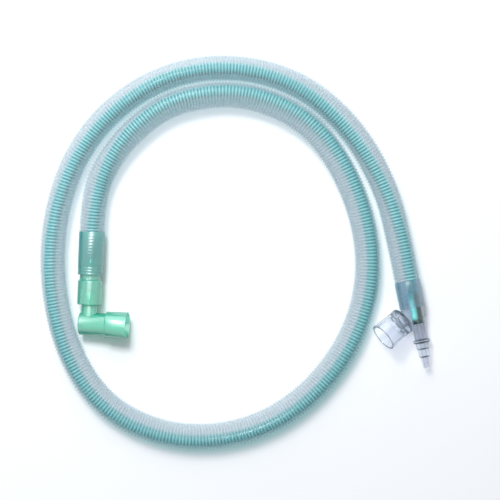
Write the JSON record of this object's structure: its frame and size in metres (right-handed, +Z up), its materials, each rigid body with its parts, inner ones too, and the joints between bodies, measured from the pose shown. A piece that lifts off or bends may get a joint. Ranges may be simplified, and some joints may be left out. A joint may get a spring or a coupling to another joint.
{
  "type": "breathing hose",
  "caption": "Coaxial breathing hose lying in a loose spiral, corrugated outside with a smooth inner tube, ending in an elbow and in a Y-shaped end with a stepped gas nozzle.",
  "frame": {"origin": "on the surface that the hose rests on, below the centre of the box round the end fittings", "axes": "+Z up, -Y towards the free ends of both end fittings, +X from the patient end to the machine end"},
  "size_m": [0.3753, 0.3779, 0.0379],
  "materials": {
    "clear_hose": "clear corrugated polyethylene, glossy",
    "teal_tube": "smooth extruded tube, tinted teal",
    "clear_cuff": "soft translucent moulding",
    "green_plastic": "moulded translucent green plastic",
    "clear_plastic": "clear moulded plastic, polished"
  },
  "bodies": {
    "root": {"outer_hose": "clear_hose", "inner_hose": "teal_tube", "patient_cuff": "clear_cuff", "machine_cuff": "clear_cuff", "patient_connector": "green_plastic", "patient_elbow": "green_plastic", "inner_tube_spider": "clear_plastic", "machine_body": "clear_plastic", "side_port": "clear_plastic", "fresh_gas_nozzle": "clear_plastic"}
  },
  "joints": []
}
